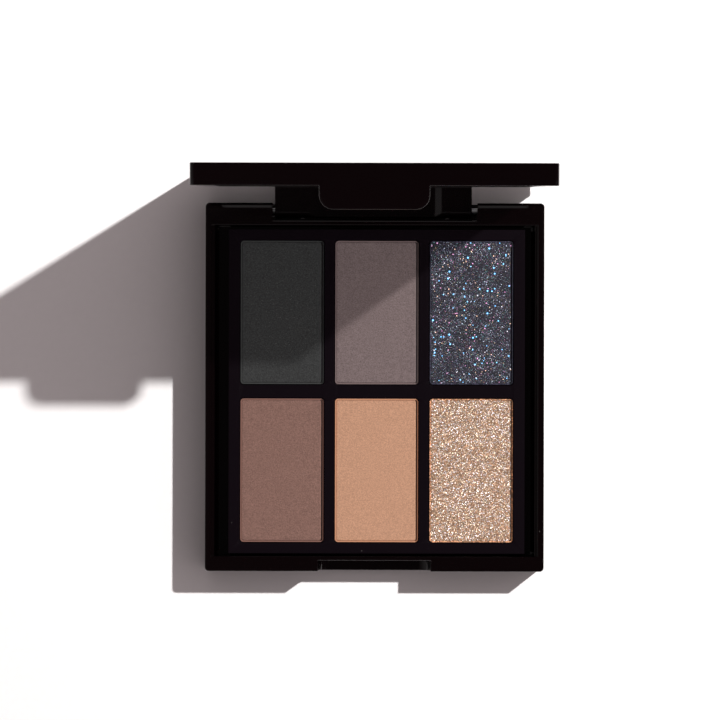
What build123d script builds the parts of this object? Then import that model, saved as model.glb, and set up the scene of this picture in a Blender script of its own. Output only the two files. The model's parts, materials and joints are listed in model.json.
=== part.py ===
"""Six-pan eyeshadow palette with a hinged mirror lid, in millimetres.

+X points right, +Y to the rear where the hinge is, +Z up. The origin is the middle of the
base's flat underside. The lid stands open, which is the rest pose. It is modelled closed
and then swung open about the hinge pins.
"""
from build123d import *
import os

# Case
CASE_W, CASE_L = 68.0, 74.0
BASE_H = 9.4
LID_T = 4.2
LID_GAP = 0.1            # rim to closed lid
CORNER_R = 0.8           # upright outer corners
EDGE_R = 0.2             # edges that a hand touches
WALL = 1.25              # side walls of the base
FLOOR_T = 1.3
REAR_STRIP = 4.5         # solid strip that holds the hinge
FRONT_STRIP = 3.0        # solid strip behind the thumb tab
STEP_W, STEP_D = 0.6, 0.9  # ledge inside the side walls, below the rim
FLOOR_R = 0.7            # fillet along the foot of the side walls

# Hinge
OPEN_DEG = 87.5          # angle of the lid in the rest pose, 0 is closed
NOTCH_W, NOTCH_D = 41.1, 3.5
NOTCH_EDGE_R = 0.35      # eases the lid's lug past the notch's top edge
LUG_LEFT, LUG_RIGHT = -20.2, 19.5
BARREL_R = 1.2
PIN_D = 1.2
PIN_FIT = 0.04           # radial clearance of the pins in the lid's lug
PIN_TIP_X = 14.5         # inner end of each pin
PIN_SINK = 0.3           # pin head below the side of the base
PIVOT_Y = CASE_L / 2 - 1.55
INNER_ABOVE_PIVOT = 4.95  # the closed lid's inner face over the pin axis
PIVOT_Z = BASE_H + LID_GAP - INNER_ABOVE_PIVOT
REAR_EDGE_R = 1.2        # the lid's inner face rolls round this edge as it opens
SADDLE_TOP, SADDLE_FOOT = 13.4, 12.1   # half widths of the hollow in the lug's middle
SADDLE_D = 0.8
RIB_X, RIB_R = 14.5, 0.5  # friction ribs on the notch wall

# Thumb tab on the lid and its recess in the base
TAB_W, TAB_T, TAB_H, TAB_R = 20.4, 1.6, 4.4, 2.6
RECESS_W, RECESS_D, RECESS_H, RECESS_R = 22.6, 2.2, 5.6, 2.4
BEAD_L, BEAD_R, BEAD_OUT = 8.0, 0.4, 0.25
BEAD_BELOW_RIM = 2.9
GROOVE_R, GROOVE_IN = 0.55, 0.2

# Tray
TRAY_W, TRAY_L = 59.5, 65.1
TRAY_X, TRAY_Y = 0.4, -0.9
TRAY_TOP = BASE_H - 0.7
WELL_W, WELL_L, WELL_R = 17.0, 29.1, 0.8
PITCH_X, PITCH_Y = 19.0, 31.7
TRAY_WEB = 0.9           # floor of a well
PUSH_HOLE_D = 4.0
CORE_INSET = 0.6         # the hollow below a well is this much smaller
PEG_D, PEG_H, PEG_FIT = 1.3, 1.5, 0.05

# Pans and powders
PAN_FIT = 0.15           # pan to well, on each side
PAN_T, PAN_H = 0.25, 4.2
PAN_BELOW_TRAY = 0.1
GLUE_D, GLUE_T = 7.0, 0.2
POWDER_BELOW_RIM = 0.15
POWDER_BEVEL = 0.3

# Mirror
MIRROR_W, MIRROR_L, MIRROR_T, MIRROR_R = 62.4, 64.8, 1.5, 1.2
MIRROR_Y = -1.1
MIRROR_FIT = 0.2
TAPE_INSET, TAPE_T = 1.5, 0.3
MIRROR_SINK = 0.5        # glass below the lid's inner face

# Label on the underside
LABEL_W, LABEL_L, LABEL_T = 36.0, 20.0, 0.1
LABEL_Y = -18.0
LABEL_POCKET = 0.2
LABEL_FIT = 0.3

COLUMNS = {"left": -1, "middle": 0, "right": 1}
ROWS = {"rear": 0.5, "front": -0.5}
UP = (Align.CENTER, Align.CENTER, Align.MIN)

WELL_FLOOR = TRAY_TOP - PAN_BELOW_TRAY - PAN_H - GLUE_T
REAR_Y, FRONT_Y = CASE_L / 2, -CASE_L / 2


def slab(width, length, height, radius, x=0.0, y=0.0, z=0.0):
    """A plate standing on z with rounded upright corners."""
    return Pos(x, y, z) * extrude(RectangleRounded(width, length, radius), height)


def rod_x(radius, x_low, x_high, y, z):
    """A round bar along X."""
    bar = Cylinder(radius, x_high - x_low, align=UP)
    return Pos(x_low, y, z) * Rot(0, 90, 0) * bar


def tab_outline(width, height, radius):
    """A rectangle hanging from its top edge, with its two lower corners rounded."""
    square = Pos(0, -height / 2) * Rectangle(width, height)
    lower = square.vertices().group_by(Axis.Y)[0]
    return fillet(lower, radius)


def hanging_plate(width, height, radius, y_low, y_high, z_top):
    """The tab outline, standing in XZ and y_low to y_high thick."""
    plate = extrude(Plane.XZ * tab_outline(width, height, radius), y_high - y_low)
    return Pos(0, y_high, z_top) * plate


def well_places():
    """The name and centre of each well."""
    for row, along in ROWS.items():
        for column, across in COLUMNS.items():
            yield f"{row}_{column}", TRAY_X + across * PITCH_X, TRAY_Y + along * PITCH_Y


def base_hollow():
    """The space for the tray and the channels beside it, with a ledge along each side wall."""
    low, high = FRONT_Y + FRONT_STRIP, REAR_Y - REAR_STRIP
    width, length, middle = CASE_W - 2 * WALL, high - low, (low + high) / 2
    hollow = Pos(0, middle, FLOOR_T) * Box(width - 2 * STEP_W, length, BASE_H, align=UP)
    foot = hollow.edges().group_by(Axis.Z)[0].filter_by(Axis.Y)
    hollow = fillet(foot, FLOOR_R)
    return hollow + Pos(0, middle, BASE_H - STEP_D) * Box(width, length, BASE_H, align=UP)


def rear_edge_waste():
    """What is cut from the top rear edge to leave it round. It runs straight through the corners."""
    corner = Pos(0, REAR_Y, BASE_H) * Box(CASE_W + 2, 2 * REAR_EDGE_R, 2 * REAR_EDGE_R)
    axis_y, axis_z = REAR_Y - REAR_EDGE_R, BASE_H - REAR_EDGE_R
    return corner - rod_x(REAR_EDGE_R, -CASE_W, CASE_W, axis_y, axis_z)


def base_shell():
    body = slab(CASE_W, CASE_L, BASE_H, CORNER_R) - rear_edge_waste()
    body -= base_hollow()
    notch_y = REAR_Y - NOTCH_D
    body -= Pos(0, notch_y, FLOOR_T) * Box(
        NOTCH_W, CASE_L, BASE_H, align=(Align.CENTER, Align.MIN, Align.MIN)
    )
    rims = body.edges().group_by(Axis.Z)[-1].filter_by(Axis.X)
    notch_top = [rim for rim in rims if abs(rim.center().Y - notch_y) < 0.01]
    body = fillet(notch_top, NOTCH_EDGE_R)
    for side in (-1, 1):
        rib = Cylinder(RIB_R, BASE_H - FLOOR_T - NOTCH_EDGE_R, align=UP)
        body += Pos(side * RIB_X, notch_y, FLOOR_T) * rib
        body -= rod_x(PIN_D / 2, *pin_span(side, 1.0), PIVOT_Y, PIVOT_Z)
        peg = Cylinder(PEG_D / 2, PEG_H, align=UP)
        body += Pos(TRAY_X + side * PITCH_X / 2, TRAY_Y, FLOOR_T) * peg
    body -= hanging_plate(
        RECESS_W, RECESS_H + 1.0, RECESS_R, FRONT_Y - 1.0, FRONT_Y + RECESS_D, BASE_H + 1.0
    )
    groove_y = FRONT_Y + RECESS_D + GROOVE_IN - GROOVE_R
    body -= rod_x(GROOVE_R, -BEAD_L / 2 - 0.5, BEAD_L / 2 + 0.5, groove_y, BASE_H - BEAD_BELOW_RIM)
    pocket = slab(LABEL_W + LABEL_FIT, LABEL_L + LABEL_FIT, LABEL_POCKET, 1.0, 0, LABEL_Y)
    return body - pocket


def pin_span(side, beyond=0.0):
    """The X range of a pin, or of its hole in the base, which runs out past the side."""
    outer = CASE_W / 2 - PIN_SINK + beyond
    inner = PIN_TIP_X if beyond == 0 else NOTCH_W / 2 - 0.2
    return (inner, outer) if side > 0 else (-outer, -inner)


def hinge_pin(side):
    pin = rod_x(PIN_D / 2, *pin_span(side), PIVOT_Y, PIVOT_Z)
    return chamfer(pin.edges().filter_by(GeomType.CIRCLE), 0.15)


def pan_tray():
    height = TRAY_TOP - FLOOR_T
    tray = Pos(TRAY_X, TRAY_Y, FLOOR_T) * Box(TRAY_W, TRAY_L, height, align=UP)
    core_h = WELL_FLOOR - TRAY_WEB - FLOOR_T
    for _, x, y in well_places():
        tray -= slab(WELL_W, WELL_L, BASE_H, WELL_R, x, y, WELL_FLOOR)
        tray -= slab(WELL_W - CORE_INSET, WELL_L - CORE_INSET, core_h, WELL_R, x, y, FLOOR_T)
        hole = Cylinder(PUSH_HOLE_D / 2, BASE_H, align=UP)
        tray -= Pos(x, y - WELL_L / 4, FLOOR_T) * hole
    for side in (-1, 1):
        socket = Cylinder(PEG_D / 2 + PEG_FIT, PEG_H + 0.3, align=UP)
        tray -= Pos(TRAY_X + side * PITCH_X / 2, TRAY_Y, FLOOR_T) * socket
    return tray


def pan(x, y):
    """A pressed tin pan."""
    z = WELL_FLOOR + GLUE_T
    width, length = WELL_W - 2 * PAN_FIT, WELL_L - 2 * PAN_FIT
    outer = slab(width, length, PAN_H, WELL_R - PAN_FIT, x, y, z)
    outer = fillet(outer.faces().sort_by(Axis.Z)[0].edges(), 0.4)
    return outer - pan_inside(x, y, BASE_H)


def pan_inside(x, y, height):
    """The hollow of a pan, made taller or shorter."""
    wall = PAN_FIT + PAN_T
    z = WELL_FLOOR + GLUE_T + PAN_T
    return slab(WELL_W - 2 * wall, WELL_L - 2 * wall, height, WELL_R - wall, x, y, z)


def powder(x, y):
    """The pressed cake, which fills its pan and has a bevelled edge."""
    cake = pan_inside(x, y, PAN_H - PAN_T - POWDER_BELOW_RIM)
    return chamfer(cake.faces().sort_by(Axis.Z)[-1].edges(), POWDER_BEVEL)


def glue(x, y):
    return Pos(x, y, WELL_FLOOR) * Cylinder(GLUE_D / 2, GLUE_T, align=UP)


def hinge_lug(inner_z):
    """The lid's hinge lug when closed: two pin arms with a thinner saddle between them."""
    width = LUG_RIGHT - LUG_LEFT
    web = Pos(LUG_LEFT, PIVOT_Y, PIVOT_Z) * Box(
        width, 2 * BARREL_R, inner_z - PIVOT_Z, align=(Align.MIN, Align.CENTER, Align.MIN)
    )
    lug = web + rod_x(BARREL_R, LUG_LEFT, LUG_RIGHT, PIVOT_Y, PIVOT_Z)
    front = PIVOT_Y - BARREL_R
    saddle = Polygon(
        (-SADDLE_TOP, front),
        (SADDLE_TOP, front),
        (SADDLE_FOOT, front + SADDLE_D),
        (-SADDLE_FOOT, front + SADDLE_D),
        align=None,
    )
    lug -= Pos(0, 0, PIVOT_Z - BARREL_R) * extrude(saddle, inner_z - PIVOT_Z + BARREL_R)
    bore_r = PIN_D / 2 + PIN_FIT
    bore_end = PIN_TIP_X - 0.3
    lug -= rod_x(bore_r, bore_end, LUG_RIGHT, PIVOT_Y, PIVOT_Z)
    lug -= rod_x(bore_r, LUG_LEFT, -bore_end, PIVOT_Y, PIVOT_Z)
    return lug


def thumb_tab(inner_z):
    """The closed lid's tab with its snap bead, which faces the recess in the base."""
    tab = hanging_plate(TAB_W, TAB_H, TAB_R, FRONT_Y, FRONT_Y + TAB_T, inner_z)
    bead_y = FRONT_Y + TAB_T + BEAD_OUT - BEAD_R
    bead_z = BASE_H - BEAD_BELOW_RIM
    return tab + rod_x(BEAD_R, -BEAD_L / 2, BEAD_L / 2, bead_y, bead_z)


def lid_shell(inner_z):
    body = slab(CASE_W, CASE_L, LID_T, CORNER_R, 0, 0, inner_z)
    body = fillet(body.faces().sort_by(Axis.Z)[-1].edges(), EDGE_R)
    pocket_h = MIRROR_SINK + MIRROR_T + TAPE_T
    fit = 2 * MIRROR_FIT
    body -= slab(MIRROR_W + fit, MIRROR_L + fit, pocket_h, MIRROR_R, 0, MIRROR_Y, inner_z)
    return body + hinge_lug(inner_z) + thumb_tab(inner_z)


def lid_mirror(inner_z):
    z = inner_z + MIRROR_SINK
    return slab(MIRROR_W, MIRROR_L, MIRROR_T, MIRROR_R, 0, MIRROR_Y, z)


def mirror_tape(inner_z):
    z = inner_z + MIRROR_SINK + MIRROR_T
    width, length = MIRROR_W - 2 * TAPE_INSET, MIRROR_L - 2 * TAPE_INSET
    return slab(width, length, TAPE_T, MIRROR_R, 0, MIRROR_Y, z)


def underside_label():
    z = LABEL_POCKET - LABEL_T
    return slab(LABEL_W, LABEL_L, LABEL_T, 0.8, 0, LABEL_Y, z)


def swing_open(shape):
    """Turn a closed lid piece to its rest angle about the pins."""
    hinge = Axis((0, PIVOT_Y, PIVOT_Z), (-1, 0, 0))
    return shape.rotate(hinge, OPEN_DEG)


def build():
    inner_z = BASE_H + LID_GAP
    parts = {
        "base_shell": base_shell(),
        "pan_tray": pan_tray(),
        "hinge_pin_left": hinge_pin(-1),
        "hinge_pin_right": hinge_pin(1),
        "underside_label": underside_label(),
        "lid_shell": swing_open(lid_shell(inner_z)),
        "lid_mirror": swing_open(lid_mirror(inner_z)),
        "mirror_tape": swing_open(mirror_tape(inner_z)),
    }
    for name, x, y in well_places():
        parts[f"pan_{name}"] = pan(x, y)
        parts[f"powder_{name}"] = powder(x, y)
        parts[f"glue_{name}"] = glue(x, y)
    return parts


os.makedirs("parts", exist_ok=True)
for node, shape in build().items():
    export_step(shape, f"parts/{node}.step")
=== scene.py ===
"""Eyeshadow palette: the looks of the case, the tray, the six shades and the mirror lid.

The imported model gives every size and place. The script rounds the moulded edges, presses the
powder cakes, scatters the glitter, and gives each piece its finish. All lengths are in metres.
"""

import json
import math

import bmesh
import bpy
from bpy.props import FloatProperty, FloatVectorProperty, IntProperty, PointerProperty
from bpy.types import Operator, Panel, PropertyGroup
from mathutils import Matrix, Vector, noise

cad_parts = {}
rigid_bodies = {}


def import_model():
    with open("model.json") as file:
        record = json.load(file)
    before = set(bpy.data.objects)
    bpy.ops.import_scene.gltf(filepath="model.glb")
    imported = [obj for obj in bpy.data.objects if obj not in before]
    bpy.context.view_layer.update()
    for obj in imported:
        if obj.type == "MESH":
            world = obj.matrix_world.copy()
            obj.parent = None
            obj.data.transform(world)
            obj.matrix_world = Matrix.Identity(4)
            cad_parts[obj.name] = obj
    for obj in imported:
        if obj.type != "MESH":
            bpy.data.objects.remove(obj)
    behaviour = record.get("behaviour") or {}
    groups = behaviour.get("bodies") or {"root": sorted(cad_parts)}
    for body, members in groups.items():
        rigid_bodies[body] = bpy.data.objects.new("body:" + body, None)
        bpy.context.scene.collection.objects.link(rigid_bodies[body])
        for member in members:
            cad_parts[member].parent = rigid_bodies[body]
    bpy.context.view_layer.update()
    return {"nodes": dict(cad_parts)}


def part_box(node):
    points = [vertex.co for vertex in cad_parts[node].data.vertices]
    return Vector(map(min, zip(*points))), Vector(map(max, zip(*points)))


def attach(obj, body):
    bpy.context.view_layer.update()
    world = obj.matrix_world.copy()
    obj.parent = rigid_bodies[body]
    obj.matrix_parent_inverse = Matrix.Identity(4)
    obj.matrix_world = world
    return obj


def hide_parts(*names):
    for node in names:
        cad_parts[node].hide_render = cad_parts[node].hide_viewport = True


bl_info = {
    "name": "Eyeshadow Palette",
    "version": (1, 0, 0),
    "blender": (4, 5, 0),
    "location": "View3D > Sidebar > Palette",
    "description": "Finishes a hinged eyeshadow palette with matte and glitter powders",
    "category": "Object",
}

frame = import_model()
MM = 0.001

# Which shade lies in which well.
MATTE_WELLS = {
    "rear_left": "charcoal",
    "rear_middle": "taupe",
    "front_left": "brown",
    "front_middle": "tan",
}
GLITTER_WELLS = {"rear_right": "midnight", "front_right": "champagne"}
WELLS = {**MATTE_WELLS, **GLITTER_WELLS}
POWDER_SLOTS = {
    "charcoal": "powder_charcoal",
    "taupe": "powder_taupe",
    "brown": "powder_brown",
    "tan": "powder_tan",
    "midnight": "powder_navy_glitter",
    "champagne": "powder_gold_glitter",
}

# Rounded copies of the CAD meshes.
MERGE_DISTANCE = 1e-6  # corners nearer than this become one
SHARP_ANGLE = math.radians(30)  # edges that fold more than this are rounded
RIM_ROUND = 0.05 * MM  # rounding of a tin's edges

# Cakes.
CAKE_CORNER = 0.45 * MM  # corner radius, seen from above
LEAST_CORNER = 0.02 * MM  # corner radius of the innermost rings
EDGE_RINGS = 5  # rings of points round the upper edge
TOP_RINGS = 26  # rings of points over the top
TOP_MIDDLE = 0.1 * MM  # half width of the face that closes the top
LUMP = 1.1 * MM  # size of the unevenness of the surface
CRUMBLE = 0.045 * MM  # deepest bite out of the edge
CRUMB_FINENESS = 2.7  # how much finer the crumbs are than the unevenness
MATTE_COARSE = 0.008 * MM  # height of a matte cake's unevenness
GLITTER_COARSE = 0.02 * MM  # height of a glitter cake's unevenness

# Grain of a matte powder: its strength on black, and how much it loses on full red.
GRAIN_ON_BLACK = 1.9
GRAIN_LOSS = 1.5

# Dust on a tin. It fades over these depths under the rim. Painted shade darkens it over these
# distances from the right side.
DUST_DEPTHS = (0.9 * MM, 0.5 * MM)
RIGHT_SHADE_DEPTHS = (0.6 * MM, 0.3 * MM)
THICK_TINT = 0.25  # how much thick dust takes up the powder's tint
SHADED_DUST_TINT = 0.6  # the same for the dust in painted shade on the right side
SHADED_DUST_SHARE = 0.31  # brightness of the dust in painted shade against the powder

# Flakes.
LOOKS_UP = 0.35  # least upward normal of a face that carries flakes
FLAKE_SIZES = (0.55, 1.2)  # smallest and largest flake against the set width
FLAKE_DEPTH = 0.1  # thickness against width
FLAKE_LIFT = 0.02 * MM  # height of a flake's middle over the cake
GLINT_TILT = 0.3  # tilt of the large flakes against that of the small ones
SEED_STEP = 10  # from one scatter's seed to the next one's
# The glow below is emission: painted glints, with a painted highlight in the middle of each large
# flake.
CORE_FALL = 1.3  # how fast a flake's painted highlight in its middle gives way to its rim
CORE_GLOW = 4.6
RIM_GLOW = 0.1

# Colours of the flakes. Each colour starts at its own pick.
BLUE_GLINTS = [(0.0, (0.02, 0.38, 0.88))]
WARM_GLINTS = [(0.0, (0.7, 0.2, 0.6)), (0.38, (0.85, 0.52, 0.3)), (0.8, (0.85, 0.88, 1.0))]
NIGHT_FLAKES = [
    (0.0, (0.09, 0.085, 0.15)),
    (0.35, (0.08, 0.2, 0.2)),
    (0.52, (0.25, 0.19, 0.12)),
    (0.64, (0.26, 0.11, 0.2)),
    (0.76, (0.4, 0.45, 0.56)),
]
CHAMPAGNE_FLAKES = [
    (0.0, (0.5, 0.33, 0.22)),
    (0.25, (0.74, 0.58, 0.44)),
    (0.45, (0.86, 0.76, 0.58)),
    (0.65, (0.9, 0.87, 0.87)),
    (0.87, (0.82, 0.8, 0.9)),
]
CHAMPAGNE_GLINTS = [(0.0, (1.0, 0.86, 0.6))]

# Studio.
LAMP_COLOUR = (1.0, 0.985, 0.975)
FRONT_AIM = (-0.3, 0.7, -1.0)  # where the soft front lamp shines
FRONT_SPREAD = math.radians(80)
BRIGHT_SIDE = (0.88, 0.47, 0)  # toward the brightest wall
FLOOR_HALF = 3.0  # half the floor's width
FLOOR_DROP = 0.02 * MM  # gap under the base


# ---------------------------------------------------------------- settings


def colour(name, value, description):
    """A colour setting with its default, in linear light."""
    return FloatVectorProperty(
        name=name, description=description, subtype="COLOR", size=3, min=0, max=1, default=value
    )


def length(name, value, description):
    """A length setting in metres."""
    return FloatProperty(
        name=name, description=description, default=value, min=0, unit="LENGTH", precision=6
    )


class CaseSettings(PropertyGroup):
    """Sizes and colours of the moulded pieces."""

    case_black: colour("Case black", (0.0024, 0.0008, 0.0011), "Gloss plastic of base and lid")
    tray_black: colour("Tray black", (0.0044, 0.0023, 0.0041), "Matte plastic of the tray")
    case_round: length("Case edge", 0.12 * MM, "Rounding of the edges of base and lid")
    tray_round: length("Tray edge", 0.08 * MM, "Rounding of the edges of the tray")
    glass_bevel: length("Mirror bevel", 0.3 * MM, "Ground edge of the mirror")


class ShadeSettings(PropertyGroup):
    """Colours of the six powders and the sizes of their cakes."""

    charcoal: colour("Charcoal", (0.0385, 0.0402, 0.0401), "Matte charcoal powder")
    taupe: colour("Taupe", (0.182, 0.14, 0.138), "Matte taupe powder")
    brown: colour("Brown", (0.22, 0.125, 0.101), "Matte brown powder")
    tan: colour("Tan", (0.515, 0.288, 0.183), "Matte tan powder")
    midnight: colour("Midnight", (0.0275, 0.0275, 0.042), "Ground of the dark glitter")
    champagne: colour("Champagne", (0.37, 0.215, 0.13), "Ground of the pale glitter")
    edge_round: length("Cake edge", 0.16 * MM, "Rounding of a cake's upper edge")
    shrinkage: length("Cake gap", 0.2 * MM, "Gap where a cake draws away from its pan")
    crown: length("Cake crown", 0.06 * MM, "Rise of a cake from its edge to its middle")
    thread: length("Press cloth", 0.36 * MM, "Spacing of the threads printed by the press cloth")


class GlitterSettings(PropertyGroup):
    """Sizes and numbers of the flakes."""

    seed: IntProperty(name="Seed", description="Seed of the scatter", default=7, min=0)
    glint_width: length("Glint width", 0.41 * MM, "Across one of the large bright flakes")
    glint_density: FloatProperty(
        name="Glint density", description="Large flakes per square metre", default=0.11e6, min=0
    )
    flake_width: length("Flake width", 0.17 * MM, "Across one of the small flakes")
    flake_density: FloatProperty(
        name="Flake density", description="Small flakes per square metre", default=19e6, min=0
    )
    clumps: FloatProperty(
        name="Clumps", description="How unevenly the small dark flakes lie", default=0.7, min=0,
        max=1,
    )
    tilt: FloatProperty(
        name="Tilt", description="Largest tilt of a flake", default=0.5, min=0, unit="ROTATION"
    )


class StageSettings(PropertyGroup):
    """Camera, lamps and floor."""

    camera_height: length("Camera height", 0.81, "Height of the camera over the floor")
    camera_right: FloatProperty(
        name="Camera right", description="Camera to the right of the base's middle",
        default=1.3 * MM, unit="LENGTH", precision=6,
    )
    camera_rear: FloatProperty(
        name="Camera rear", description="Camera to the rear of the base's middle",
        default=2.6 * MM, unit="LENGTH", precision=6,
    )
    camera_roll: FloatProperty(
        name="Camera roll", description="Turn of the camera about its view",
        default=math.radians(0.14), unit="ROTATION",
    )
    lens: FloatProperty(name="Lens", description="Focal length", default=199.5, unit="CAMERA")
    lens_shift: FloatVectorProperty(
        name="Lens shift", description="Sideways and upward shift of the picture", size=2,
        default=(-0.0294, 0.0196),
    )
    key_place: FloatVectorProperty(
        name="Key place", description="Where the key lamp stands", subtype="TRANSLATION", size=3,
        default=(0.561, 0.38, 0.8),
    )
    key_width: length("Key width", 0.026, "Width of the key lamp")
    key: FloatProperty(name="Key", description="Power of the key lamp", default=5.9, unit="POWER")
    backdrop: FloatProperty(
        name="Backdrop", description="Power of the lamp that whitens the sheet", default=9.3,
        unit="POWER",
    )
    front: FloatProperty(name="Front", description="Strength of the soft front lamp", default=1.36)
    walls: FloatProperty(name="Walls", description="Brightness of the studio walls", default=0.68)
    floor: colour("Floor", (0.88, 0.87, 0.865), "Pale floor")


# ---------------------------------------------------------------- node helpers


def add(tree, kind, label=None, **settings):
    """A new node with its settings and, by socket name or number, its input values."""
    node = tree.nodes.new(kind)
    if label:
        node.label = label
    for key, value in settings.pop("values", {}).items():
        node.inputs[key].default_value = value
    for key, value in settings.items():
        setattr(node, key, value)
    return node


def wire(tree, *pairs):
    """Links each (output, input) pair."""
    for output, target in pairs:
        tree.links.new(output, target)


def math_node(tree, operation, first, second=None):
    """A Math node fed by sockets or numbers. It returns its output."""
    node = add(tree, "ShaderNodeMath", operation=operation)
    for socket, value in zip(node.inputs, (first, second)):
        if value is None:
            continue
        if isinstance(value, (int, float)):
            socket.default_value = value
        else:
            tree.links.new(value, socket)
    return node.outputs[0]


def mix_colour(tree, factor, first, second, blend="MIX"):
    """A colour Mix node fed by sockets or values. It returns its output."""
    node = add(tree, "ShaderNodeMix", data_type="RGBA", blend_type=blend)
    for socket, value in zip((node.inputs[0], node.inputs[6], node.inputs[7]),
                             (factor, first, second)):
        if isinstance(value, (int, float)):
            socket.default_value = value
        elif isinstance(value, bpy.types.NodeSocket):
            tree.links.new(value, socket)
        else:
            socket.default_value = (*value, 1.0)
    return node.outputs[2]


def ramp(tree, factor, stops, interpolation="LINEAR"):
    """A Color Ramp over (place, colour) stops. It returns its colour output."""
    node = add(tree, "ShaderNodeValToRGB")
    node.color_ramp.interpolation = interpolation
    points = node.color_ramp.elements
    while len(points) < len(stops):
        points.new(1.0)
    for point, (place, shade) in zip(points, stops):
        point.position = place
        point.color = (*shade, 1.0)
    tree.links.new(factor, node.inputs[0])
    return node.outputs[0]


def noise_value(tree, vector, scale, detail=2.0, rough=0.5):
    """A noise pattern from 0 to 1."""
    node = add(tree, "ShaderNodeTexNoise", values={"Scale": scale, "Detail": detail,
                                                   "Roughness": rough})
    tree.links.new(vector, node.inputs["Vector"])
    return node.outputs["Fac"]


def stretch(tree, value, low, high, to_low=0.0, to_high=1.0):
    """Maps low..high to to_low..to_high and clamps."""
    node = add(tree, "ShaderNodeMapRange", values={1: low, 2: high, 3: to_low, 4: to_high})
    tree.links.new(value, node.inputs[0])
    return node.outputs[0]


def group(name, inputs, outputs):
    """An empty shader node group with (socket type, name, default) inputs, and its two ends."""
    tree = bpy.data.node_groups.new(name, "ShaderNodeTree")
    for kind, label, value in inputs:
        socket = tree.interface.new_socket(label, in_out="INPUT", socket_type=kind)
        if value is not None:
            socket.default_value = value
    for kind, label in outputs:
        tree.interface.new_socket(label, in_out="OUTPUT", socket_type=kind)
    return tree, tree.nodes.new("NodeGroupInput"), tree.nodes.new("NodeGroupOutput")


def once(maker):
    """Builds a node group the first time it is asked for."""
    made = {}

    def get():
        if "tree" not in made:
            made["tree"] = maker()
        return made["tree"]

    return get


# ---------------------------------------------------------------- shared effects


@once
def pressed_powder():
    """Cloth print, grain and mottling of a pressed powder."""
    tree, start, end = group(
        "Pressed powder",
        [
            ("NodeSocketVector", "Vector", None),
            ("NodeSocketColor", "Powder", (0.5, 0.5, 0.5, 1)),
            ("NodeSocketFloat", "Thread", 0.36 * MM),
            ("NodeSocketFloat", "Print", 0.17),
            ("NodeSocketFloat", "Grain", 1.2),
        ],
        [("NodeSocketColor", "Color"), ("NodeSocketFloat", "Height")],
    )
    vector = start.outputs["Vector"]
    turned = add(tree, "ShaderNodeMapping", "45 degrees")
    turned.inputs["Rotation"].default_value = (0, 0, math.radians(45))
    wobble = add(tree, "ShaderNodeTexNoise", values={"Scale": 700, "Detail": 1})
    shift = add(tree, "ShaderNodeVectorMath", operation="MULTIPLY_ADD")
    shift.inputs[1].default_value = (0.12 * MM,) * 3
    wire(tree, (vector, wobble.inputs["Vector"]), (wobble.outputs["Color"], shift.inputs[0]),
         (vector, shift.inputs[2]), (shift.outputs[0], turned.inputs["Vector"]))
    apart = add(tree, "ShaderNodeSeparateXYZ")
    wire(tree, (turned.outputs[0], apart.inputs[0]))
    turns = math_node(tree, "DIVIDE", 2 * math.pi, start.outputs["Thread"])
    warp = math_node(tree, "SINE", math_node(tree, "MULTIPLY", apart.outputs["X"], turns))
    weft = math_node(tree, "SINE", math_node(tree, "MULTIPLY", apart.outputs["Y"], turns))
    print_ = math_node(tree, "MULTIPLY", warp, weft)
    patches = stretch(tree, noise_value(tree, vector, 320, 2), 0.35, 0.65, 0.35, 1.0)
    print_ = math_node(tree, "MULTIPLY", print_, patches)
    grain = math_node(tree, "SUBTRACT", noise_value(tree, vector, 4800, 2, 0.6), 0.5)
    mottle = math_node(tree, "SUBTRACT", noise_value(tree, vector, 260, 3), 0.5)
    tone = math_node(tree, "MULTIPLY", print_, start.outputs["Print"])
    tone = math_node(tree, "ADD", tone, math_node(tree, "MULTIPLY", grain, start.outputs["Grain"]))
    tone = math_node(tree, "ADD", tone, math_node(tree, "MULTIPLY", mottle, 0.06))
    tone = math_node(tree, "ADD", tone, 1.0)
    shaded = mix_colour(tree, 1.0, start.outputs["Powder"], tone, "MULTIPLY")
    pale = mix_colour(tree, 0.25, start.outputs["Powder"], (0.9, 0.85, 0.82))
    specks = stretch(tree, noise_value(tree, vector, 7000, 0), 0.76, 0.84, 0.0, 0.35)
    shaded = mix_colour(tree, specks, shaded, pale)
    relief = math_node(tree, "ADD", math_node(tree, "MULTIPLY", print_, 0.3), grain)
    wire(tree, (shaded, end.inputs["Color"]), (relief, end.inputs["Height"]))
    return tree


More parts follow.
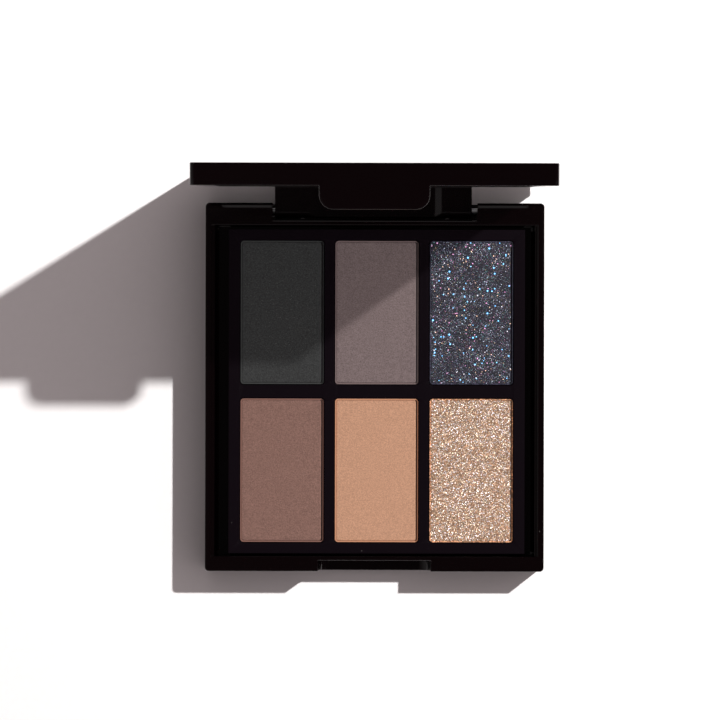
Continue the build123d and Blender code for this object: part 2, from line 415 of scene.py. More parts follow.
@once
def moulded_skin():
    """Faint flow marks, hairline scratches and dust on a moulded or polished surface."""
    tree, start, end = group(
        "Moulded skin",
        [
            ("NodeSocketVector", "Vector", None),
            ("NodeSocketFloat", "Roughness", 0.1),
            ("NodeSocketFloat", "Spread", 0.05),
            ("NodeSocketFloat", "Grain", 3000.0),
        ],
        [("NodeSocketFloat", "Roughness"), ("NodeSocketFloat", "Dust"),
         ("NodeSocketFloat", "Height")],
    )
    vector = start.outputs["Vector"]
    smear = math_node(tree, "SUBTRACT", noise_value(tree, vector, 90, 3), 0.5)
    drawn = add(tree, "ShaderNodeMapping", "Stretched")
    drawn.inputs["Scale"].default_value = (60, 2600, 2600)
    drawn.inputs["Rotation"].default_value = (0, 0, 0.6)
    wire(tree, (vector, drawn.inputs["Vector"]))
    lines = stretch(tree, noise_value(tree, drawn.outputs[0], 1.0, 1), 0.66, 0.74)
    change = math_node(tree, "ADD", smear, math_node(tree, "MULTIPLY", lines, 0.8))
    change = math_node(tree, "MULTIPLY", change, start.outputs["Spread"])
    rough = math_node(tree, "ADD", start.outputs["Roughness"], change)
    cells = add(tree, "ShaderNodeTexVoronoi", values={"Scale": 420.0})
    wire(tree, (vector, cells.inputs["Vector"]))
    near = stretch(tree, cells.outputs["Distance"], 0.03, 0.055, 1.0, 0.0)
    pick = add(tree, "ShaderNodeSeparateColor")
    wire(tree, (cells.outputs["Color"], pick.inputs[0]))
    chosen = math_node(tree, "GREATER_THAN", pick.outputs[0], 0.9)
    dust = math_node(tree, "MULTIPLY", near, chosen)
    texture = add(tree, "ShaderNodeTexNoise", values={"Detail": 2.0})
    wire(tree, (vector, texture.inputs["Vector"]),
         (start.outputs["Grain"], texture.inputs["Scale"]))
    wire(tree, (rough, end.inputs["Roughness"]), (dust, end.inputs["Dust"]),
         (texture.outputs["Fac"], end.inputs["Height"]))
    return tree


@once
def mica_cells():
    """Tiny mica platelets in a glitter powder: a tint, a brightness and a height for each."""
    tree, start, end = group(
        "Mica cells",
        [
            ("NodeSocketVector", "Vector", None),
            ("NodeSocketColor", "Powder", (0.5, 0.5, 0.5, 1)),
            ("NodeSocketFloat", "Cells", 5200.0),
            ("NodeSocketFloat", "Colour play", 0.5),
            ("NodeSocketFloat", "Contrast", 1.0),
        ],
        [("NodeSocketColor", "Color"), ("NodeSocketFloat", "Shine"),
         ("NodeSocketFloat", "Height")],
    )
    cells = add(tree, "ShaderNodeTexVoronoi")
    wire(tree, (start.outputs["Vector"], cells.inputs["Vector"]),
         (start.outputs["Cells"], cells.inputs["Scale"]))
    pick = add(tree, "ShaderNodeSeparateColor")
    wire(tree, (cells.outputs["Color"], pick.inputs[0]))
    light = math_node(tree, "POWER", pick.outputs[0], 2.6)
    light = math_node(tree, "MULTIPLY", light, start.outputs["Contrast"])
    tone = math_node(tree, "ADD", 0.62, light)
    tinted = mix_colour(tree, start.outputs["Colour play"], (1, 1, 1), cells.outputs["Color"])
    shaded = mix_colour(tree, 1.0, start.outputs["Powder"], tone, "MULTIPLY")
    shaded = mix_colour(tree, 1.0, shaded, tinted, "MULTIPLY")
    wire(tree, (shaded, end.inputs["Color"]), (pick.outputs[1], end.inputs["Shine"]),
         (pick.outputs[2], end.inputs["Height"]))
    return tree


# ---------------------------------------------------------------- materials


def material(name, **values):
    """A Principled material with constant values, its tree and its shader."""
    made = bpy.data.materials.new(name)
    made.use_nodes = True
    tree = made.node_tree
    shader = tree.nodes["Principled BSDF"]
    for key, value in values.items():
        socket = shader.inputs[key.replace("_", " ")]
        socket.default_value = (*value, 1.0) if hasattr(value, "__len__") else value
    return made, tree, shader


def place_group(tree, make_group, **values):
    """A shared effect in a material, reading Object coordinates."""
    node = add(tree, "ShaderNodeGroup", node_tree=make_group())
    where = add(tree, "ShaderNodeTexCoord")
    wire(tree, (where.outputs["Object"], node.inputs["Vector"]))
    for key, value in values.items():
        value = (*value, 1.0) if hasattr(value, "__len__") else value
        node.inputs[key.replace("_", " ")].default_value = value
    return node


def bump(tree, shader, height, distance, strength=1.0):
    """Feeds a height into the shader's normal."""
    node = add(tree, "ShaderNodeBump", values={"Distance": distance, "Strength": strength})
    wire(tree, (height, node.inputs["Height"]), (node.outputs[0], shader.inputs["Normal"]))


def plastic(name, base, rough, spread, grain, relief, dust, **values):
    """Black moulded plastic with dust and fine surface marks."""
    made, tree, shader = material(name, **values)
    skin = place_group(tree, moulded_skin, Roughness=rough, Spread=spread, Grain=grain)
    dusty = math_node(tree, "MULTIPLY", skin.outputs["Dust"], dust)
    tone = mix_colour(tree, dusty, base, (0.32, 0.3, 0.29))
    wire(tree, (tone, shader.inputs["Base Color"]),
         (skin.outputs["Roughness"], shader.inputs["Roughness"]))
    bump(tree, shader, skin.outputs["Height"], relief)
    return made


def powder_finish(shade, base, thread):
    """A matte pressed powder. The darker it is, the more its grain shows."""
    made, tree, shader = material(f"Powder {shade}", Specular_IOR_Level=0.12, Roughness=0.85,
                                  Sheen_Weight=0.06, Sheen_Roughness=0.5)
    speckle = GRAIN_ON_BLACK - GRAIN_LOSS * base[0]
    grain = place_group(tree, pressed_powder, Powder=base, Thread=thread, Grain=speckle)
    wire(tree, (grain.outputs["Color"], shader.inputs["Base Color"]))
    bump(tree, shader, grain.outputs["Height"], 0.012 * MM, 0.6)
    return made


def mica_finish(shade, base, play, contrast):
    """The ground of a glitter powder."""
    made, tree, shader = material(f"Powder {shade}", Specular_IOR_Level=0.4)
    cells = place_group(tree, mica_cells, Powder=base, Colour_play=play, Contrast=contrast)
    rough = stretch(tree, cells.outputs["Shine"], 0.0, 1.0, 0.75, 0.4)
    wire(tree, (cells.outputs["Color"], shader.inputs["Base Color"]),
         (rough, shader.inputs["Roughness"]))
    bump(tree, shader, cells.outputs["Height"], 0.03 * MM, 0.7)
    return made


def flake_finish(name, stops, glow, sharpness, core=None):
    """Glitter flakes, whose sparkle is painted: each flake carries its own pick, which chooses its
    colour, and its own glow, an emission that paints its glint. With a core colour, the flake
    pales towards its middle in a painted highlight."""
    made, tree, shader = material(name, Roughness=0.35, Metallic=0.3, Specular_IOR_Level=0.5,
                                  Base_Color=stops[0][1])
    tone = stops[0][1]
    if len(stops) > 1:
        pick = add(tree, "ShaderNodeAttribute", attribute_name="pick")
        tone = ramp(tree, pick.outputs["Fac"], stops, "CONSTANT")
        wire(tree, (tone, shader.inputs["Base Color"]))
    # Painted glints: the emission gives each flake a glow of its own in place of caught light.
    level = add(tree, "ShaderNodeAttribute", attribute_name="glow")
    lit = math_node(tree, "POWER", level.outputs["Fac"], sharpness)
    lit = math_node(tree, "MULTIPLY", lit, glow)
    shine = mix_colour(tree, 1.0, tone, lit, "MULTIPLY")
    # Painted highlight: the middle of the flake pales towards the core colour.
    if core:
        inward = add(tree, "ShaderNodeAttribute", attribute_name="inward")
        middle = math_node(tree, "POWER", inward.outputs["Fac"], CORE_FALL)
        fade = math_node(tree, "MULTIPLY", middle, CORE_GLOW)
        fade = math_node(tree, "ADD", fade, RIM_GLOW)
        shine = mix_colour(tree, 1.0, mix_colour(tree, middle, shine, core), fade, "MULTIPLY")
    wire(tree, (shine, shader.inputs["Emission Color"]))
    shader.inputs["Emission Strength"].default_value = 1.0
    return made


def tin_finish(shade, powder, node):
    """Pressed tin, dusted with its powder under the rim. On the right side the dust is painted
    darker, as shade.
    """
    low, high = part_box(node)
    made, tree, shader = material(f"Pan tin {shade}")
    skin = place_group(tree, moulded_skin, Roughness=0.35, Spread=0.2, Grain=5000.0)
    where = add(tree, "ShaderNodeTexCoord")
    apart = add(tree, "ShaderNodeSeparateXYZ")
    wire(tree, (where.outputs["Object"], apart.inputs[0]))
    dusted = stretch(tree, apart.outputs["Z"], *(high.z - depth for depth in DUST_DEPTHS))
    # Painted shade: the dust darkens over the right side of the tin.
    right_shade = stretch(tree, apart.outputs["X"], *(high.x - depth for depth in RIGHT_SHADE_DEPTHS))
    grey = sum(powder) / 3
    thick = [c * (c / grey) ** THICK_TINT for c in powder]
    # Painted shade: a darker, deeper tint of the dust for the right side.
    shaded_dust = [SHADED_DUST_SHARE * c * (c / grey) ** SHADED_DUST_TINT for c in powder]
    dust = mix_colour(tree, right_shade, thick, shaded_dust)
    if shade in GLITTER_WELLS.values():
        cells = place_group(tree, mica_cells, Colour_play=0.15, Contrast=3.2)
        wire(tree, (dust, cells.inputs["Powder"]))
        dust = cells.outputs["Color"]
    tone = mix_colour(tree, dusted, (0.6, 0.59, 0.57), dust)
    bare = math_node(tree, "SUBTRACT", 1.0, dusted)
    rough = math_node(tree, "MULTIPLY_ADD", dusted, 0.4)
    wire(tree, (skin.outputs["Roughness"], rough.node.inputs[2]),
         (tone, shader.inputs["Base Color"]), (bare, shader.inputs["Metallic"]),
         (rough, shader.inputs["Roughness"]))
    bump(tree, shader, skin.outputs["Height"], 0.01 * MM)
    return made


def mirror_finish():
    """Silvered glass with faint wiping marks."""
    made, tree, shader = material("Mirror silver", Base_Color=(0.88, 0.9, 0.9), Metallic=1.0)
    skin = place_group(tree, moulded_skin, Roughness=0.012, Spread=0.03, Grain=400.0)
    wire(tree, (skin.outputs["Roughness"], shader.inputs["Roughness"]))
    return made


def two_tone(name, light, dark, grain, rough, spread=0.15, **values):
    """A plain material whose tone drifts between two values."""
    made, tree, shader = material(name, **values)
    skin = place_group(tree, moulded_skin, Roughness=rough, Spread=spread, Grain=grain)
    tone = ramp(tree, skin.outputs["Height"], [(0.3, dark), (0.7, light)])
    wire(tree, (tone, shader.inputs["Base Color"]),
         (skin.outputs["Roughness"], shader.inputs["Roughness"]))
    bump(tree, shader, skin.outputs["Height"], 0.01 * MM)
    return made


# ---------------------------------------------------------------- mesh helpers


def new_piece(name, mesh, finish, body, slot, *nodes):
    """Puts a mesh into the scene as a piece that rides on a body and stands for CAD nodes."""
    piece = bpy.data.objects.new(name, mesh)
    bpy.context.scene.collection.objects.link(piece)
    piece.data.materials.clear()
    piece.data.materials.append(finish)
    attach(piece, body)
    if nodes:
        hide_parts(*nodes)
    return piece


def as_mesh(shape, name, smooth=True):
    """Turns an edit mesh into a mesh and frees it."""
    for face in shape.faces:
        face.smooth = smooth
    mesh = bpy.data.meshes.new(name)
    shape.to_mesh(mesh)
    shape.free()
    return mesh


def rounded_copy(node, name, width, steps=2):
    """A copy of a CAD node's mesh, merged, with its sharp edges rounded. It stays inside the
    node's box."""
    shape = bmesh.new()
    shape.from_mesh(frame["nodes"][node].data)
    bmesh.ops.remove_doubles(shape, verts=shape.verts, dist=MERGE_DISTANCE)
    sharp = [e for e in shape.edges if e.calc_face_angle(0) > SHARP_ANGLE]
    bmesh.ops.bevel(
        shape, geom=sharp, offset=width, segments=steps, profile=0.5, affect="EDGES",
        clamp_overlap=False,
    )
    low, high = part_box(node)
    for point in shape.verts:
        point.co = Vector(min(max(c, a), b) for c, a, b in zip(point.co, low, high))
    return as_mesh(shape, name)


def weighted(piece):
    """Keeps flat faces flat in shading, so that only the rounded edges catch light."""
    normals = piece.modifiers.new("Flat faces", "WEIGHTED_NORMAL")
    normals.weight = 100
    normals.keep_sharp = True


def repaint(node, finish):
    """Gives a CAD node's object one finish."""
    mesh = frame["nodes"][node].data
    mesh.materials.clear()
    mesh.materials.append(finish)


def cake_outline(half_x, half_y, radius, along=(18, 32), corner=5):
    """Points round a rectangle with rounded corners, anticlockwise, the same number each time."""
    points = []
    sides = [(1, -1, along[1]), (1, 1, along[0]), (-1, 1, along[1]), (-1, -1, along[0])]
    for quarter, (right, rear, count) in enumerate(sides):
        centre = Vector((right * (half_x - radius), rear * (half_y - radius)))
        start = math.radians(90 * quarter - 90)
        for step in range(corner):
            angle = start + math.radians(90) * step / (corner - 1)
            points.append(centre + radius * Vector((math.cos(angle), math.sin(angle))))
        onward = sides[(quarter + 1) % 4]
        target = Vector((onward[0] * (half_x - radius), onward[1] * (half_y - radius)))
        leave = Vector((math.cos(start + math.pi / 2), math.sin(start + math.pi / 2)))
        for step in range(1, count):
            points.append(centre.lerp(target, step / count) + radius * leave)
    return points


def cake_mesh(name, node, settings, coarse):
    """A pressed cake: straight sides, a rounded upper edge that crumbles a little, and a low
    crown. It has drawn away from the right side of its pan. coarse is the height of its
    unevenness in metres."""
    low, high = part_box(node)
    high.x -= settings.shrinkage
    half_x, half_y = (high.x - low.x) / 2, (high.y - low.y) / 2
    middle = (low + high) / 2
    edge = settings.edge_round
    rings = [(0.0, low.z), (0.0, (low.z + high.z) / 2), (0.0, high.z - edge)]
    first_edge, first_top = len(rings), len(rings) + EDGE_RINGS
    for step in range(1, EDGE_RINGS + 1):
        angle = math.radians(90) * step / EDGE_RINGS
        rings.append((edge * (1 - math.cos(angle)), high.z - edge * (1 - math.sin(angle))))
    reach = half_x - edge - TOP_MIDDLE
    for step in range(1, TOP_RINGS + 1):
        rings.append((edge + reach * step / TOP_RINGS, high.z))
    shape = bmesh.new()
    loops = []
    for count, (inset, z) in enumerate(rings):
        loop = []
        radius = max(CAKE_CORNER - inset, LEAST_CORNER)
        for point in cake_outline(half_x - inset, half_y - inset, radius):
            across = (point.x / half_x) ** 2
            along = (point.y / half_y) ** 2
            rise = settings.crown * (1 - across) * (1 - along) if count >= first_edge else 0.0
            seed = Vector((middle.x + point.x, middle.y + point.y, z)) / LUMP
            rough = coarse * noise.noise(seed) if count >= first_edge else 0.0
            crumble = 0.0
            if first_edge <= count < first_top:
                crumble = CRUMBLE * max(noise.noise(seed * CRUMB_FINENESS), 0.0)
            pull = 1 - crumble / max(point.length, MM)
            loop.append(shape.verts.new((middle.x + point.x * pull, middle.y + point.y * pull,
                                         z + rise + rough)))
        loops.append(loop)
    for lower, upper in zip(loops, loops[1:]):
        total = len(lower)
        for i in range(total):
            j = (i + 1) % total
            shape.faces.new((lower[i], lower[j], upper[j], upper[i]))
    shape.faces.new(loops[-1])
    shape.faces.new(reversed(loops[0]))
    return as_mesh(shape, name)


# ---------------------------------------------------------------- glitter scatter


def flake_tree(finish, fill):
    """Geometry Nodes: six-sided flakes lying at random tilts on the upper side of a cake."""
    tree = bpy.data.node_groups.new("Glitter scatter", "GeometryNodeTree")
    face = tree.interface
    face.new_socket("Geometry", in_out="INPUT", socket_type="NodeSocketGeometry")
    for kind, label in (("Float", "Density"), ("Float", "Clumps"), ("Float", "Flake Width"),
                        ("Float", "Flake Thickness"), ("Float", "Tilt"), ("Float", "Lift"),
                        ("Int", "Seed")):
        face.new_socket(label, in_out="INPUT", socket_type=f"NodeSocket{kind}")
    face.new_socket("Geometry", in_out="OUTPUT", socket_type="NodeSocketGeometry")
    start, end = tree.nodes.new("NodeGroupInput"), tree.nodes.new("NodeGroupOutput")
    given = start.outputs

    normal = add(tree, "GeometryNodeInputNormal")
    apart = add(tree, "ShaderNodeSeparateXYZ")
    upward = add(tree, "ShaderNodeMath", operation="GREATER_THAN", values={1: LOOKS_UP})
    points = add(tree, "GeometryNodeDistributePointsOnFaces")
    wire(tree, (normal.outputs[0], apart.inputs[0]), (apart.outputs["Z"], upward.inputs[0]),
         (given["Geometry"], points.inputs["Mesh"]),
         (upward.outputs[0], points.inputs["Selection"]), (given["Seed"], points.inputs["Seed"]))
    where = add(tree, "GeometryNodeInputPosition")
    cloud = noise_value(tree, where.outputs[0], 420, 2)
    thick = stretch(tree, cloud, 0.36, 0.62, 0.15, 1.75)
    thick = math_node(tree, "MULTIPLY", math_node(tree, "SUBTRACT", thick, 1.0), given["Clumps"])
    thick = math_node(tree, "MULTIPLY", math_node(tree, "ADD", thick, 1.0), given["Density"])
    wire(tree, (thick, points.inputs["Density"]))

    radius = add(tree, "ShaderNodeMath", operation="MULTIPLY", values={1: 0.5})
    flake = add(tree, "GeometryNodeMeshCylinder", values={"Vertices": 6}, fill_type=fill)
    wire(tree, (given["Flake Width"], radius.inputs[0]),
         (radius.outputs[0], flake.inputs["Radius"]),
         (given["Flake Thickness"], flake.inputs["Depth"]))
    # How far each point lies in from the rim, for the painted highlight in a flake's middle.
    reach = add(tree, "ShaderNodeVectorMath", operation="LENGTH")
    share = math_node(tree, "DIVIDE", reach.outputs["Value"], radius.outputs[0])
    inward = add(tree, "GeometryNodeStoreNamedAttribute", data_type="FLOAT", domain="POINT",
                 values={"Name": "inward"})
    wire(tree, (where.outputs[0], reach.inputs[0]),
         (flake.outputs["Mesh"], inward.inputs["Geometry"]),
         (math_node(tree, "SUBTRACT", 1.0, share), inward.inputs["Value"]))

    back = add(tree, "ShaderNodeMath", operation="MULTIPLY", values={1: -1.0})
    low = add(tree, "ShaderNodeCombineXYZ", values={"Z": -math.pi})
    high = add(tree, "ShaderNodeCombineXYZ", values={"Z": math.pi})
    turn = add(tree, "FunctionNodeRandomValue", data_type="FLOAT_VECTOR")
    size = add(tree, "FunctionNodeRandomValue", data_type="FLOAT",
               values={2: FLAKE_SIZES[0], 3: FLAKE_SIZES[1]})
    wire(tree, (given["Tilt"], back.inputs[0]), (back.outputs[0], low.inputs["X"]),
         (back.outputs[0], low.inputs["Y"]), (given["Tilt"], high.inputs["X"]),
         (given["Tilt"], high.inputs["Y"]), (low.outputs[0], turn.inputs[0]),
         (high.outputs[0], turn.inputs[1]), (given["Seed"], turn.inputs["Seed"]),
         (given["Seed"], size.inputs["Seed"]))

    laid = add(tree, "GeometryNodeInstanceOnPoints")
    raised = add(tree, "GeometryNodeTranslateInstances")
    lift = add(tree, "ShaderNodeCombineXYZ")
    wire(tree, (points.outputs["Points"], laid.inputs["Points"]),
         (inward.outputs[0], laid.inputs["Instance"]), (turn.outputs[0], laid.inputs["Rotation"]),
         (size.outputs[1], laid.inputs["Scale"]), (laid.outputs[0], raised.inputs["Instances"]),
         (given["Lift"], lift.inputs["Z"]), (lift.outputs[0], raised.inputs["Translation"]))
    raised.inputs["Local Space"].default_value = False

    flow = raised.outputs[0]
    # Each flake's colour pick, and the strength of its painted glint.
    for label, offset in (("pick", 11.0), ("glow", 12.0)):
        chance = add(tree, "FunctionNodeRandomValue", data_type="FLOAT")
        seed = add(tree, "ShaderNodeMath", operation="ADD", values={1: offset})
        store = add(tree, "GeometryNodeStoreNamedAttribute", data_type="FLOAT", domain="INSTANCE",
                    values={"Name": label})
        wire(tree, (given["Seed"], seed.inputs[0]), (seed.outputs[0], chance.inputs["Seed"]),
             (flow, store.inputs["Geometry"]), (chance.outputs[1], store.inputs["Value"]))
        flow = store.outputs[0]
    real = add(tree, "GeometryNodeRealizeInstances")
    coat = add(tree, "GeometryNodeSetMaterial", values={"Material": finish})
    wire(tree, (flow, real.inputs[0]), (real.outputs[0], coat.inputs["Geometry"]),
         (coat.outputs[0], end.inputs[0]))
    return tree


def scatter(name, cake, finish, fill, slot, **values):
    """Strews flakes over a cake and returns them as one plain mesh piece."""
    tree = flake_tree(finish, fill)
    carrier = bpy.data.objects.new(name + "_carrier", cake.data.copy())
    bpy.context.scene.collection.objects.link(carrier)
    strew = carrier.modifiers.new("Scatter", "NODES")
    strew.node_group = tree
    for item in tree.interface.items_tree:
        if item.in_out == "INPUT" and item.name in values:
            strew[item.identifier] = values[item.name]
    carrier.update_tag()
    ready = carrier.evaluated_get(bpy.context.evaluated_depsgraph_get())
    mesh = bpy.data.meshes.new_from_object(ready)
    mesh.name = name
    bpy.data.objects.remove(carrier)
    return new_piece(name, mesh, finish, "base", slot)


# ---------------------------------------------------------------- operators


class PALETTE_OT_case(Operator):
    """Round the edges of the base and the lid and give them gloss black plastic"""

    bl_idname = "palette.case"
    bl_label = "Case"

    def execute(self, context):
        case = context.scene.palette_case
        gloss = plastic("Gloss black plastic", case.case_black, rough=0.09, spread=0.06,
                        grain=900.0, relief=0.002 * MM, dust=0.6, Specular_IOR_Level=0.5)
        for node, name, body in (("base_shell", "case_base", "base"),
                                 ("lid_shell", "case_lid", "lid")):
            mesh = rounded_copy(node, name, case.case_round)
            weighted(new_piece(name, mesh, gloss, body, "case_plastic", node))
        return {"FINISHED"}


class PALETTE_OT_tray(Operator):
    """Round the edges of the tray and give it matte violet-black plastic"""

    bl_idname = "palette.tray"
    bl_label = "Tray"

    def execute(self, context):
        case = context.scene.palette_case
        matte = plastic("Matte tray plastic", case.tray_black, rough=0.55, spread=0.1,
                        grain=7000.0, relief=0.008 * MM, dust=0.22, Specular_IOR_Level=0.04)
        mesh = rounded_copy("pan_tray", "tray", case.tray_round)
        weighted(new_piece("tray", mesh, matte, "base", "tray_plastic", "pan_tray"))
        return {"FINISHED"}


class PALETTE_OT_pans(Operator):
    """Round the rims of the six pans and dust them with their powders"""

    bl_idname = "palette.pans"
    bl_label = "Pans"

    def execute(self, context):
        shades = context.scene.palette_shades
        for well, shade in WELLS.items():
            node = f"pan_{well}"
            tin = tin_finish(shade, getattr(shades, shade), node)
            mesh = rounded_copy(node, f"tin_{shade}", RIM_ROUND)
            weighted(new_piece(f"tin_{shade}", mesh, tin, "base", "pan_tin", node))
        return {"FINISHED"}


class PALETTE_OT_matte_cakes(Operator):
    """Press the four matte cakes"""

    bl_idname = "palette.matte_cakes"
    bl_label = "Matte cakes"

    def execute(self, context):
        shades = context.scene.palette_shades
        for well, shade in MATTE_WELLS.items():
            finish = powder_finish(shade, getattr(shades, shade), shades.thread)
            mesh = cake_mesh(f"cake_{shade}", f"powder_{well}", shades, MATTE_COARSE)
            new_piece(f"cake_{shade}", mesh, finish, "base", POWDER_SLOTS[shade],
                      f"powder_{well}")
        return {"FINISHED"}


class PALETTE_OT_glitter_cakes(Operator):
    """Press the two glitter cakes and strew their flakes"""

    bl_idname = "palette.glitter_cakes"
    bl_label = "Glitter cakes"

    def execute(self, context):
        shades = context.scene.palette_shades
        glitter = context.scene.palette_glitter
        grounds = {"midnight": {"play": 0.35, "contrast": 1.1},
                   "champagne": {"play": 0.12, "contrast": 1.3}}
        cakes = {}
        for well, shade in GLITTER_WELLS.items():
            finish = mica_finish(shade, getattr(shades, shade), **grounds[shade])
            mesh = cake_mesh(f"cake_{shade}", f"powder_{well}", shades, GLITTER_COARSE)
            cakes[shade] = new_piece(f"cake_{shade}", mesh, finish, "base", POWDER_SLOTS[shade],
                                     f"powder_{well}")
        # Every flake below glows: its sparkle is a painted glint.
        blue_glints = flake_finish("Blue glints", BLUE_GLINTS, glow=1.0, sharpness=0.6,
                                   core=(0.72, 0.95, 1.0))
        warm_glints = flake_finish("Warm glints", WARM_GLINTS, glow=1.0, sharpness=1.0,
                                   core=(1.0, 0.8, 0.8))
        night_flakes = flake_finish("Night flakes", NIGHT_FLAKES, glow=4.4, sharpness=5.5)
        pale_flakes = flake_finish("Champagne flakes", CHAMPAGNE_FLAKES, glow=2.75, sharpness=4.4)
        pale_glints = flake_finish("Champagne glints", CHAMPAGNE_GLINTS, glow=1.2, sharpness=1.0,
                                   core=(1.0, 1.0, 0.95))
        width, density = glitter.flake_width, glitter.flake_density
        glint_width, glints = glitter.glint_width, glitter.glint_density
        small_glint = 0.6 * glint_width
        plans = [
            ("glints_blue", "midnight", blue_glints, "TRIANGLE_FAN", glint_width, glints, 0),
            ("glints_warm", "midnight", warm_glints, "TRIANGLE_FAN", small_glint, 2 * glints, 0),
            ("flakes_midnight", "midnight", night_flakes, "NGON", 0.7 * width, density,
             glitter.clumps),
            ("flakes_champagne", "champagne", pale_flakes, "NGON", width, density, 0),
            ("glints_champagne", "champagne", pale_glints, "TRIANGLE_FAN", small_glint,
             1.2 * glints, 0),
        ]
        for turn, (name, shade, finish, fill, across, count, clumps) in enumerate(plans):
            tilt = glitter.tilt if fill == "NGON" else GLINT_TILT * glitter.tilt
            scatter(name, cakes[shade], finish, fill, POWDER_SLOTS[shade], **{
                "Density": count, "Clumps": clumps, "Flake Width": across,
                "Flake Thickness": FLAKE_DEPTH * across, "Tilt": tilt, "Lift": FLAKE_LIFT,
                "Seed": glitter.seed + SEED_STEP * turn})
        return {"FINISHED"}


class PALETTE_OT_mirror(Operator):
    """Grind the mirror's edge, silver it and finish its tape"""

    bl_idname = "palette.mirror"
    bl_label = "Mirror"

    def execute(self, context):
        case = context.scene.palette_case
        mesh = rounded_copy("lid_mirror", "mirror", case.glass_bevel, 1)
        weighted(new_piece("mirror", mesh, mirror_finish(), "lid", "mirror_glass", "lid_mirror"))
        foam = two_tone("Foam tape", (0.66, 0.66, 0.64), (0.5, 0.5, 0.48), grain=4000.0,
                        rough=0.8, Specular_IOR_Level=0.3)
        repaint("mirror_tape", foam)
        return {"FINISHED"}


class PALETTE_OT_small_parts(Operator):
    """Finish the hinge pins, the glue dots and the blank label"""

    bl_idname = "palette.small_parts"
    bl_label = "Pins, glue and label"

    def execute(self, context):
        steel = two_tone("Drawn steel", (0.6, 0.6, 0.61), (0.42, 0.42, 0.43), grain=2600.0,
                         rough=0.28, spread=0.25, Metallic=1.0)
        glue = two_tone("Hot-melt glue", (0.52, 0.5, 0.42), (0.42, 0.4, 0.33), grain=900.0,
                        rough=0.35, Specular_IOR_Level=0.3)
        film = two_tone("Label film", (0.6, 0.6, 0.58), (0.52, 0.52, 0.5), grain=5000.0,
                        rough=0.45, Specular_IOR_Level=0.3)
        for side in ("left", "right"):
            repaint(f"hinge_pin_{side}", steel)
        for well in WELLS:
            repaint(f"glue_{well}", glue)
        repaint("underside_label", film)
        return {"FINISHED"}


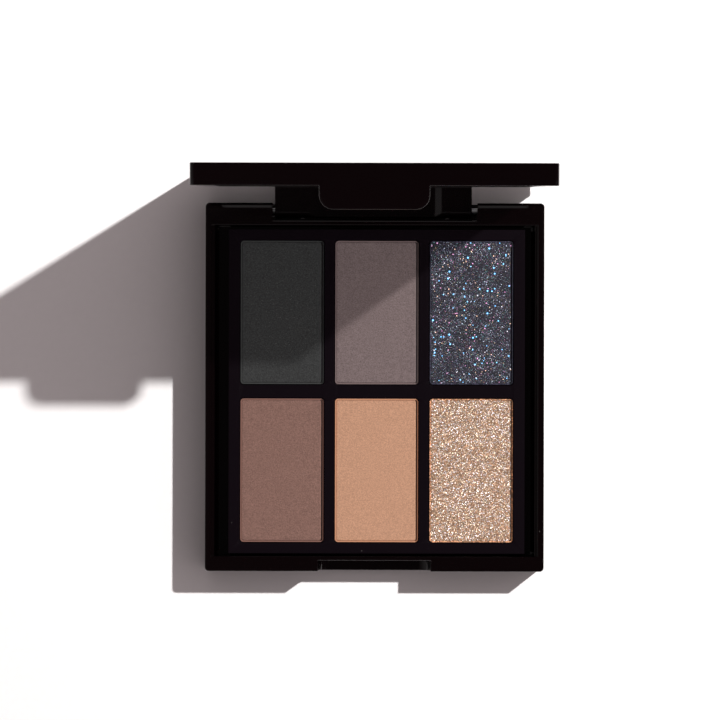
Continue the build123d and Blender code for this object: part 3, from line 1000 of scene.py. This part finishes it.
class PALETTE_OT_stage(Operator):
    """Set the floor, the studio light and the camera"""

    bl_idname = "palette.stage"
    bl_label = "Stage"

    def execute(self, context):
        stage = context.scene.palette_stage
        floor = self.floor(context, stage)
        self.lamp(context, stage, "key", stage.key)
        self.only_on(self.lamp(context, stage, "backdrop", stage.backdrop), [floor])
        soft = self.front_lamp(context, stage)
        self.only_on(soft, [o for o in context.scene.objects if o.type == "MESH" and o != floor])
        self.studio(context, stage)
        self.camera(context, stage)
        context.scene.view_settings.view_transform = "Standard"
        return {"FINISHED"}

    def floor(self, context, stage):
        """A wide pale sheet under the palette."""
        shape = bmesh.new()
        bmesh.ops.create_grid(shape, x_segments=8, y_segments=8, size=FLOOR_HALF)
        mesh = as_mesh(shape, "floor", smooth=False)
        floor = bpy.data.objects.new("floor", mesh)
        floor.location.z = -FLOOR_DROP
        context.scene.collection.objects.link(floor)
        shade = [0.985 * c for c in stage.floor]
        mesh.materials.append(two_tone("Pale board", stage.floor, shade, grain=700.0, rough=0.8,
                                       Specular_IOR_Level=0.3))
        return floor

    def lamp(self, context, stage, name, power):
        """A small round lamp at the rear right, aimed at the palette."""
        light = bpy.data.lights.new(name, "AREA")
        light.shape = "DISK"
        light.size = stage.key_width
        light.energy = power
        light.color = LAMP_COLOUR
        lamp = bpy.data.objects.new(name, light)
        lamp.location = stage.key_place
        lamp.rotation_euler = (-lamp.location).to_track_quat("-Z", "Y").to_euler()
        context.scene.collection.objects.link(lamp)
        return lamp

    def front_lamp(self, context, stage):
        """A very wide soft lamp over the front, too broad to show as a highlight."""
        light = bpy.data.lights.new("front", "SUN")
        light.energy = stage.front
        light.angle = FRONT_SPREAD
        lamp = bpy.data.objects.new("front", light)
        lamp.rotation_euler = Vector(FRONT_AIM).to_track_quat("-Z", "Y").to_euler()
        lamp.visible_glossy = False
        context.scene.collection.objects.link(lamp)
        return lamp

    def only_on(self, lamp, objects):
        """Flags a lamp so that its light falls on some objects alone."""
        lit = bpy.data.collections.new(f"lit by {lamp.name}")
        for thing in objects:
            lit.objects.link(thing)
        lamp.light_linking.receiver_collection = lit

    def studio(self, context, stage):
        """Walls that are brighter on the right. In gloss they show dark, with a pale left side
        and a pale card over the front."""
        world = bpy.data.worlds.new("studio")
        world.use_nodes = True
        tree = world.node_tree
        where = add(tree, "ShaderNodeTexCoord")
        apart = add(tree, "ShaderNodeSeparateXYZ")
        toward = add(tree, "ShaderNodeVectorMath", operation="DOT_PRODUCT")
        toward.inputs[1].default_value = BRIGHT_SIDE
        wire(tree, (where.outputs["Generated"], apart.inputs[0]),
             (where.outputs["Generated"], toward.inputs[0]))
        walls = ramp(tree, stretch(tree, toward.outputs["Value"], -1.0, 1.0),
                     [(0.25, (0.14, 0.122, 0.124)), (0.9, (1.0, 0.86, 0.875))])
        shine = ramp(tree, stretch(tree, apart.outputs["X"], -1.0, 1.0),
                     [(0.0, (0.3, 0.28, 0.28)), (0.25, (0.12, 0.11, 0.11)),
                      (0.5, (0.02, 0.018, 0.018)), (1.0, (0.03, 0.026, 0.026))])
        card = math_node(tree, "MULTIPLY",
                         stretch(tree, apart.outputs["Y"], -0.25, -0.55),
                         stretch(tree, apart.outputs["Z"], 0.2, 0.45))
        shine = mix_colour(tree, card, shine, (0.42, 0.39, 0.39))
        soft, gloss = tree.nodes["Background"], add(tree, "ShaderNodeBackground")
        soft.inputs["Strength"].default_value = stage.walls
        path = add(tree, "ShaderNodeLightPath")
        both = add(tree, "ShaderNodeMixShader")
        wire(tree, (walls, soft.inputs["Color"]), (shine, gloss.inputs["Color"]),
             (path.outputs["Is Glossy Ray"], both.inputs[0]), (soft.outputs[0], both.inputs[1]),
             (gloss.outputs[0], both.inputs[2]),
             (both.outputs[0], tree.nodes["World Output"].inputs["Surface"]))
        context.scene.world = world

    def camera(self, context, stage):
        """A long lens straight above the palette."""
        lens = bpy.data.cameras.new("camera")
        lens.lens = stage.lens
        lens.sensor_width = 36.0
        lens.shift_x, lens.shift_y = stage.lens_shift
        camera = bpy.data.objects.new("camera", lens)
        camera.location = (stage.camera_right, stage.camera_rear, stage.camera_height)
        camera.rotation_euler = (0, 0, stage.camera_roll)
        context.scene.collection.objects.link(camera)
        context.scene.camera = camera


class PALETTE_PT_panel(Panel):
    """Sidebar panel with the palette's settings and steps"""

    bl_idname = "PALETTE_PT_panel"
    bl_label = "Palette"
    bl_space_type = "VIEW_3D"
    bl_region_type = "UI"
    bl_category = "Palette"

    def draw(self, context):
        for settings in SETTINGS:
            box = self.layout.box()
            values = getattr(context.scene, settings)
            for key in values.bl_rna.properties.keys():
                if key not in ("rna_type", "name"):
                    box.prop(values, key)
        for operator in OPERATORS:
            self.layout.operator(operator.bl_idname)


SETTINGS = {
    "palette_case": CaseSettings,
    "palette_shades": ShadeSettings,
    "palette_glitter": GlitterSettings,
    "palette_stage": StageSettings,
}
OPERATORS = (
    PALETTE_OT_case,
    PALETTE_OT_tray,
    PALETTE_OT_pans,
    PALETTE_OT_matte_cakes,
    PALETTE_OT_glitter_cakes,
    PALETTE_OT_mirror,
    PALETTE_OT_small_parts,
    PALETTE_OT_stage,
)


def register():
    for name, settings in SETTINGS.items():
        bpy.utils.register_class(settings)
        setattr(bpy.types.Scene, name, PointerProperty(type=settings))
    for kind in (*OPERATORS, PALETTE_PT_panel):
        bpy.utils.register_class(kind)


def unregister():
    for kind in reversed((*OPERATORS, PALETTE_PT_panel)):
        bpy.utils.unregister_class(kind)
    for name, settings in SETTINGS.items():
        delattr(bpy.types.Scene, name)
        bpy.utils.unregister_class(settings)


def main():
    """Builds every piece and the stage."""
    register()
    for name in ("cube", "light", "camera"):
        for thing in [o for o in bpy.data.objects if o.name.lower() == name]:
            bpy.data.objects.remove(thing)
    for operator in OPERATORS:
        group_name, step = operator.bl_idname.split(".")
        getattr(getattr(bpy.ops, group_name), step)()


if __name__ == "__main__":
    main()
